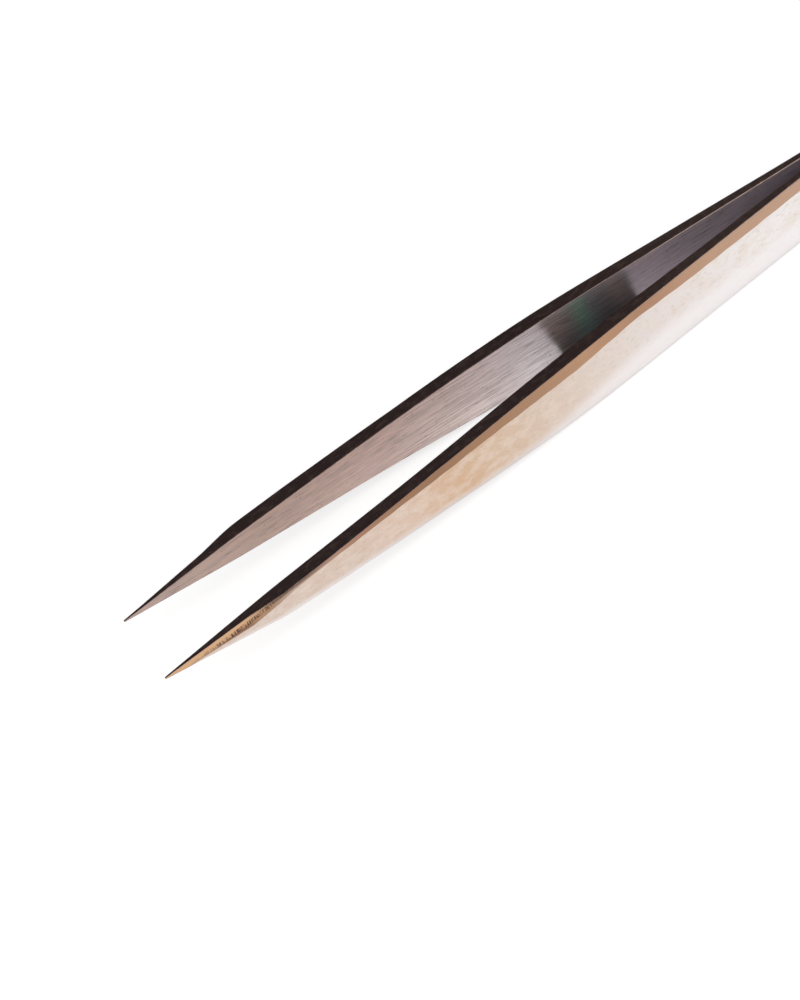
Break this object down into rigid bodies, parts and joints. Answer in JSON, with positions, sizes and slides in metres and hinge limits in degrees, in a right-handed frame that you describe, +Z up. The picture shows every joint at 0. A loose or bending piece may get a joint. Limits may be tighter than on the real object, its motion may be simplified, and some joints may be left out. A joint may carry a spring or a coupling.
{
  "type": "needle-point tweezers",
  "caption": "Slim steel tweezers: bowed, tapered arms with needle points, ground bevels outside and brushed faces inside, joined flat to flat at the tail.",
  "frame": {"origin": "middle of the length and of the closed tail, on the surface that the tweezers lie on", "axes": "+X along the length from the points to the tail, +Y across the gap between the arms, +Z up through the width of the arms"},
  "size_m": [0.125, 0.0122, 0.0097],
  "materials": {
    "ground_steel": "stainless steel, polished outside, brushed lengthwise inside, finely ground on the side edges"
  },
  "bodies": {
    "root": {"left_arm": "ground_steel", "right_arm": "ground_steel"}
  },
  "joints": []
}
